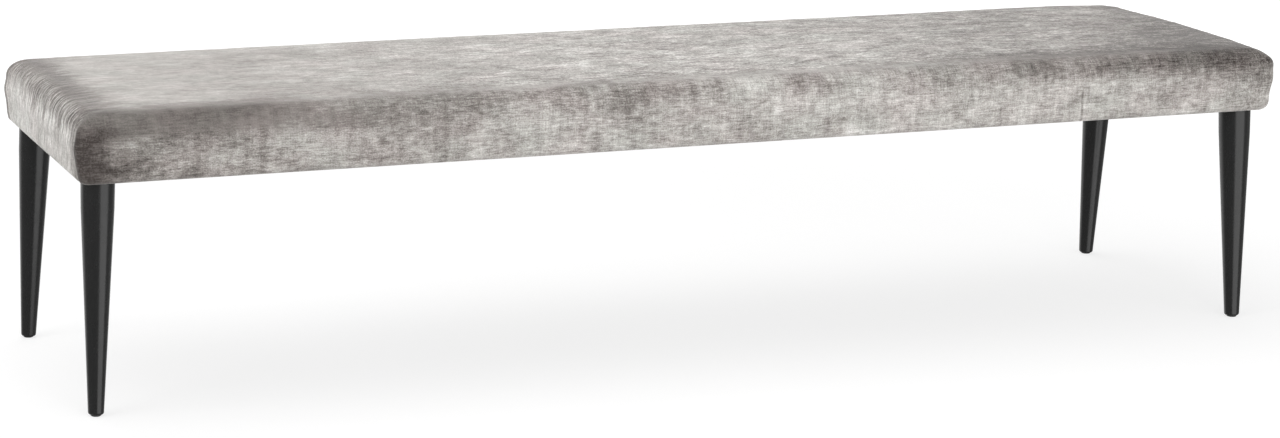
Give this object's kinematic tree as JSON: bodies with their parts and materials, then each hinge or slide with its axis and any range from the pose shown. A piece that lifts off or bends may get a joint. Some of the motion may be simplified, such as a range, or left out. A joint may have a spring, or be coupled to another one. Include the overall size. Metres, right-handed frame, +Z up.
{
  "type": "upholstered bench",
  "caption": "Long backless bench with a box-shaped padded seat under crushed velvet, on turned black tapered legs that splay slightly outwards.",
  "frame": {"origin": "on the floor, under the middle of the seat", "axes": "+X along the bench, to the right seen from the front; the front faces -Y; +Z up"},
  "size_m": [2.106, 0.526, 0.48],
  "materials": {
    "velvet": "crushed velvet with a mottled pile",
    "wadding": "soft polyester wadding",
    "foam": "cut polyurethane foam",
    "nonwoven": "thin spunbonded sheet",
    "beech": "planed, unfinished",
    "plywood": "sanded, unfinished",
    "black_lacquer": "turned beech under black satin lacquer",
    "raw_steel": "drawn tube, oiled",
    "zinc_steel": "bright zinc plate",
    "staple_wire": "galvanised wire",
    "glide_plastic": "moulded, matte"
  },
  "bodies": {
    "root": {"back_rail": "beech", "back_stiffening_tube": "raw_steel", "board_screws": "zinc_steel", "corner_block_back_left": "beech", "corner_block_back_right": "beech", "corner_block_front_left": "beech", "corner_block_front_right": "beech", "cover_staples": "staple_wire", "cross_rail_1": "beech", "cross_rail_2": "beech", "cross_rail_3": "beech", "cross_rail_4": "beech", "dust_cover": "nonwoven", "dust_cover_staples": "staple_wire", "floor_glide_back_left": "glide_plastic", "floor_glide_back_right": "glide_plastic", "floor_glide_front_left": "glide_plastic", "floor_glide_front_right": "glide_plastic", "frame_screws": "zinc_steel", "front_rail": "beech", "front_stiffening_tube": "raw_steel", "glide_nails": "zinc_steel", "hanger_bolt_back_left": "zinc_steel", "hanger_bolt_back_right": "zinc_steel", "hanger_bolt_front_left": "zinc_steel", "hanger_bolt_front_right": "zinc_steel", "left_end_rail": "beech", "leg_back_left": "black_lacquer", "leg_back_right": "black_lacquer", "leg_front_left": "black_lacquer", "leg_front_right": "black_lacquer", "right_end_rail": "beech", "seat_board": "plywood", "seat_cover": "velvet", "seat_foam": "foam", "seat_wadding": "wadding", "threaded_inserts": "zinc_steel"}
  },
  "joints": []
}
